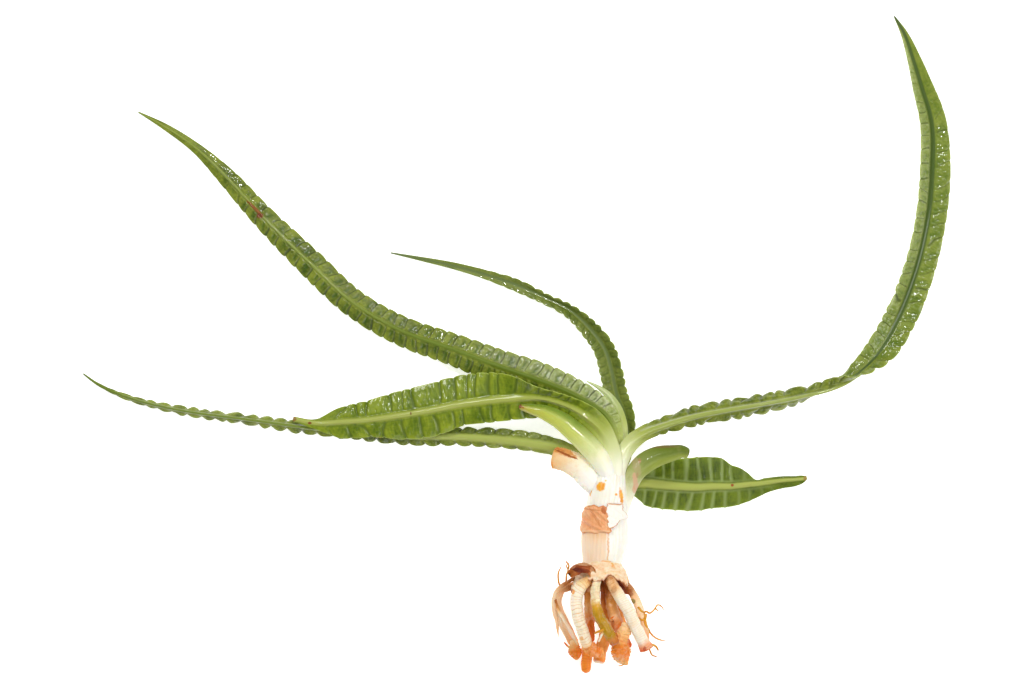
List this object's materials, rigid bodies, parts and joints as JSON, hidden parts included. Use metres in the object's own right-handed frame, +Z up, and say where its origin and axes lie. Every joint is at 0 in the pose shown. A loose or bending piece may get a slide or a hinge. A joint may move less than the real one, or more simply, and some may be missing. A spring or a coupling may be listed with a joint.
{
  "type": "crinum",
  "caption": "Bare-rooted water plant with long rippled strap leaves, a white neck and thick cut roots, lying on its side.",
  "frame": {"origin": "middle of the plant's length and width, on the surface that it lies on", "axes": "+Z up from the surface; the leaves spread to -X and +X; +Y runs from the roots towards the leaf tips"},
  "size_m": [0.5207, 0.3943, 0.0373],
  "materials": {
    "leaf_green": "satin leaf underside",
    "leaf_dark": "dull leaf upper side",
    "leaf_glossy": "wet, glossy leaf",
    "leaf_pale": "pale young leaf",
    "stalk_green": "smooth fleshy stalk",
    "neck_white": "white fleshy leaf bases",
    "sheath_cream": "limp old leaf base",
    "sheath_tan": "papery torn sheath",
    "sheath_white": "papery white sheath",
    "plate_cream": "fleshy basal plate",
    "scale_brown": "dead brown scale",
    "root_cream": "fleshy cream root",
    "root_white": "fleshy white root",
    "root_olive": "olive and white root",
    "root_orange": "old orange root",
    "root_brown": "old brown root",
    "skin_orange": "papery peeled root skin",
    "rootlet_gold": "fine golden side root"
  },
  "bodies": {
    "root": {"leaf_upper_left": "leaf_green", "leaf_top": "leaf_dark", "leaf_right": "leaf_green", "leaf_cut_left": "leaf_glossy", "leaf_low_left": "leaf_green", "leaf_cut_right": "leaf_glossy", "leaf_young": "leaf_pale", "stalk_cut_left": "stalk_green", "stalk_cut_right": "stalk_green", "neck": "neck_white", "sheath_stump": "sheath_cream", "sheath_tan": "sheath_tan", "sheath_white": "sheath_white", "basal_plate": "plate_cream", "scale_dead": "scale_brown", "root_01": "root_cream", "root_02": "root_cream", "root_03": "root_white", "root_04": "root_olive", "root_05": "root_white", "root_06": "root_brown", "root_07": "root_brown", "root_08": "root_orange", "root_09": "root_orange", "root_10": "root_orange", "root_11": "root_cream", "root_skin_1": "skin_orange", "root_skin_2": "skin_orange", "root_skin_3": "skin_orange", "rootlet_1": "rootlet_gold", "rootlet_2": "rootlet_gold", "rootlet_3": "rootlet_gold", "rootlet_4": "rootlet_gold"}
  },
  "joints": []
}
